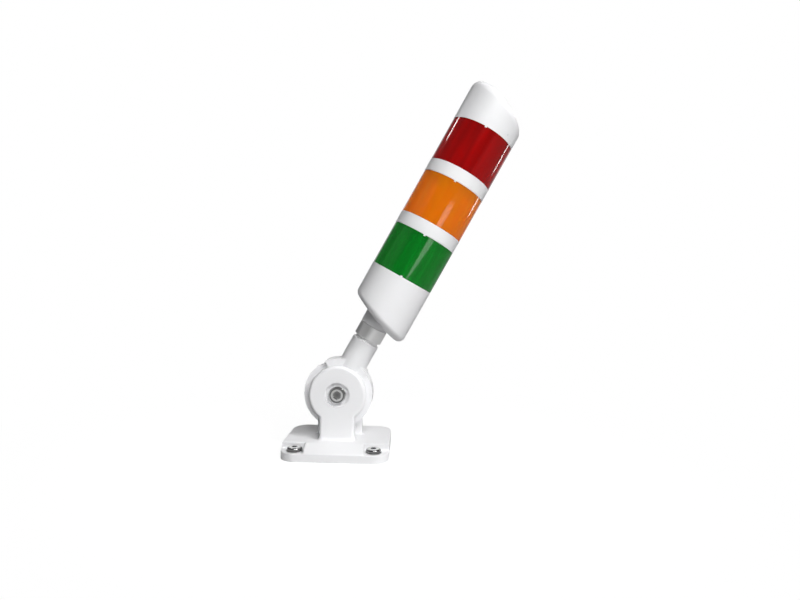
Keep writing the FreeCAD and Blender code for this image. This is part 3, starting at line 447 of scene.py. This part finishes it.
def makeFloor():
    values = floorFinish
    work = bmesh.new()
    bmesh.ops.create_grid(work, x_segments=1, y_segments=1, size=values["halfWidth"])
    mesh = bpy.data.meshes.new("floor")
    work.to_mesh(mesh)
    work.free()
    finish = Finish("floor_finish", Roughness=values["roughness"],
                    Specular_IOR_Level=values["specular"])
    finish.set(Base_Color=grey(values["level"]))
    seen, glossy, through = finish.rays()
    # the lit floor shows through the white near the object, where its shadow falls,
    # and what the camera sees of it is raised to white where no shadow falls
    away = finish.distance(finish.place(), (0, 0, 0))
    near = (1 - away / values["shadowReach"]).clamped()
    share = seen * (1 - near * values["shadowShare"]) + glossy * values["gloss"] + through
    plain = Wire(finish, finish.shader.outputs[0])
    lift = finish.light("ShaderNodeEmission", 1 - values["litLevel"])
    raised = finish.node("ShaderNodeAddShader", inputs={0: plain, 1: lift})
    white = finish.light("ShaderNodeEmission", 1.0)
    shown = finish.blend(share.clamped(), finish.blend(seen, plain, raised), white)
    finish.feed(finish.tree.nodes["Material Output"].inputs["Surface"], shown)
    mesh.materials.append(finish.material)
    floor = bpy.data.objects.new("floor", mesh)
    bpy.context.collection.objects.link(floor)


class Surroundings(Finish):
    # the world's own node tree, with the same helpers
    def __init__(self, name):
        world = bpy.data.worlds.new(name)
        bpy.context.scene.world = world
        world.use_nodes = True
        self.tree = world.node_tree


def makeWorld():
    studio = Surroundings("studio")
    seen, glossy, through = studio.rays()
    # shiny surfaces see the white backdrop only where it stands, behind the object
    ahead = studio.parts(studio.node("ShaderNodeTexCoord", output="Generated"))[1]
    backdrop = ((ahead - room["backdropEdge"]) / room["backdropSoft"]).clamped()
    share = (seen + glossy * backdrop + through).clamped()
    soft = studio.light("ShaderNodeBackground", room["level"])
    shine = studio.light("ShaderNodeBackground", room["gloss"])
    white = studio.light("ShaderNodeBackground", 1.0)
    shown = studio.blend(share, studio.blend(glossy, soft, shine), white)
    studio.feed(studio.tree.nodes["World Output"].inputs["Surface"], shown)


# Lamps: where each stands, what it points at, its size, its power and its spread in degrees
lamps = {
    "key": {"place": (0.26, -0.84, 0.78), "target": (0.1, 0, 0.2), "size": (0.5, 0.5),
            "power": 0.68, "spread": 50},
    "front": {"place": (0.38, -0.7, 0.05), "target": (0.025, 0, 0.09), "size": (0.26, 0.2),
              "power": 0.6, "spread": 180},
    "fill": {"place": (0.5, -0.42, 0.66), "target": (0, 0, 0.03), "size": (0.3, 0.3),
             "power": 0.36, "spread": 40},
}
# glints: seen in shiny surfaces, with no light of their own on matt ones
glints = {
    "leftCard": {"place": (-0.55, -0.25, 0.35), "target": (0.025, 0, 0.09), "size": (0.6, 0.6),
                 "power": 0.25, "spread": 180},
    "leftStrip": {"place": (-0.282, 0.252, 0.664), "target": (0.1, 0, 0.23),
                  "size": (0.05, 0.1), "power": 0.25, "spread": 180},
    "rightHigh": {"place": (0.659, 0.252, 0.12), "target": (0.1, 0, 0.23), "size": (0.04, 0.06),
                  "power": 0.15, "spread": 180},
    "rightLow": {"place": (0.612, 0.252, 0.033), "target": (0.09, 0, 0.2), "size": (0.04, 0.04),
                 "power": 0.1, "spread": 180},
}


# a lamp looks at its target, with its height in line with the tower
def aim(direction):
    leaning = Vector((math.sin(tower["lean"]), 0, math.cos(tower["lean"])))
    ahead = direction.normalized()
    side = ahead.cross(leaning).normalized()
    return Matrix((side, side.cross(ahead), -ahead)).transposed().to_4x4()


def makeLamps():
    for name, values in {**lamps, **glints}.items():
        lamp = bpy.data.lights.new(name, "AREA")
        lamp.shape = "RECTANGLE"
        lamp.size, lamp.size_y = values["size"]
        lamp.energy = values["power"]
        lamp.spread = math.radians(values["spread"])
        holder = bpy.data.objects.new(name, lamp)
        place = Vector(values["place"])
        holder.matrix_world = Matrix.Translation(place) @ aim(Vector(values["target"]) - place)
        holder.visible_diffuse = name in lamps
        bpy.context.collection.objects.link(holder)


# the focal length is given for a view that is 800 wide, and the sensor in millimetres
camera = {"place": (0.05563, -0.42002, 0.12895), "yaw": -0.0230, "pitch": -0.0278,
          "roll": 0.0168, "focal": 544.5, "width": 800, "sensor": 36, "nearest": 0.01}


def makeCamera():
    yaw, pitch, roll = camera["yaw"], camera["pitch"], camera["roll"]
    ahead = Vector((math.sin(yaw) * math.cos(pitch), math.cos(yaw) * math.cos(pitch),
                    math.sin(pitch)))
    right = Vector((math.cos(yaw), -math.sin(yaw), 0))
    up = right.cross(ahead)
    across = right * math.cos(roll) + up * math.sin(roll)
    above = up * math.cos(roll) - right * math.sin(roll)
    data = bpy.data.cameras.new("camera")
    data.sensor_width = camera["sensor"]
    data.lens = camera["focal"] / camera["width"] * camera["sensor"]
    data.clip_start = camera["nearest"]
    view = bpy.data.objects.new("camera", data)
    turn = Matrix((across, above, -ahead)).transposed().to_4x4()
    view.matrix_world = Matrix.Translation(Vector(camera["place"])) @ turn
    bpy.context.collection.objects.link(view)
    bpy.context.scene.camera = view


makeFloor()
makeWorld()
makeLamps()
makeCamera()
bpy.context.scene.view_settings.view_transform = "Standard"
print("studio set")

bpy.context.view_layer.update()
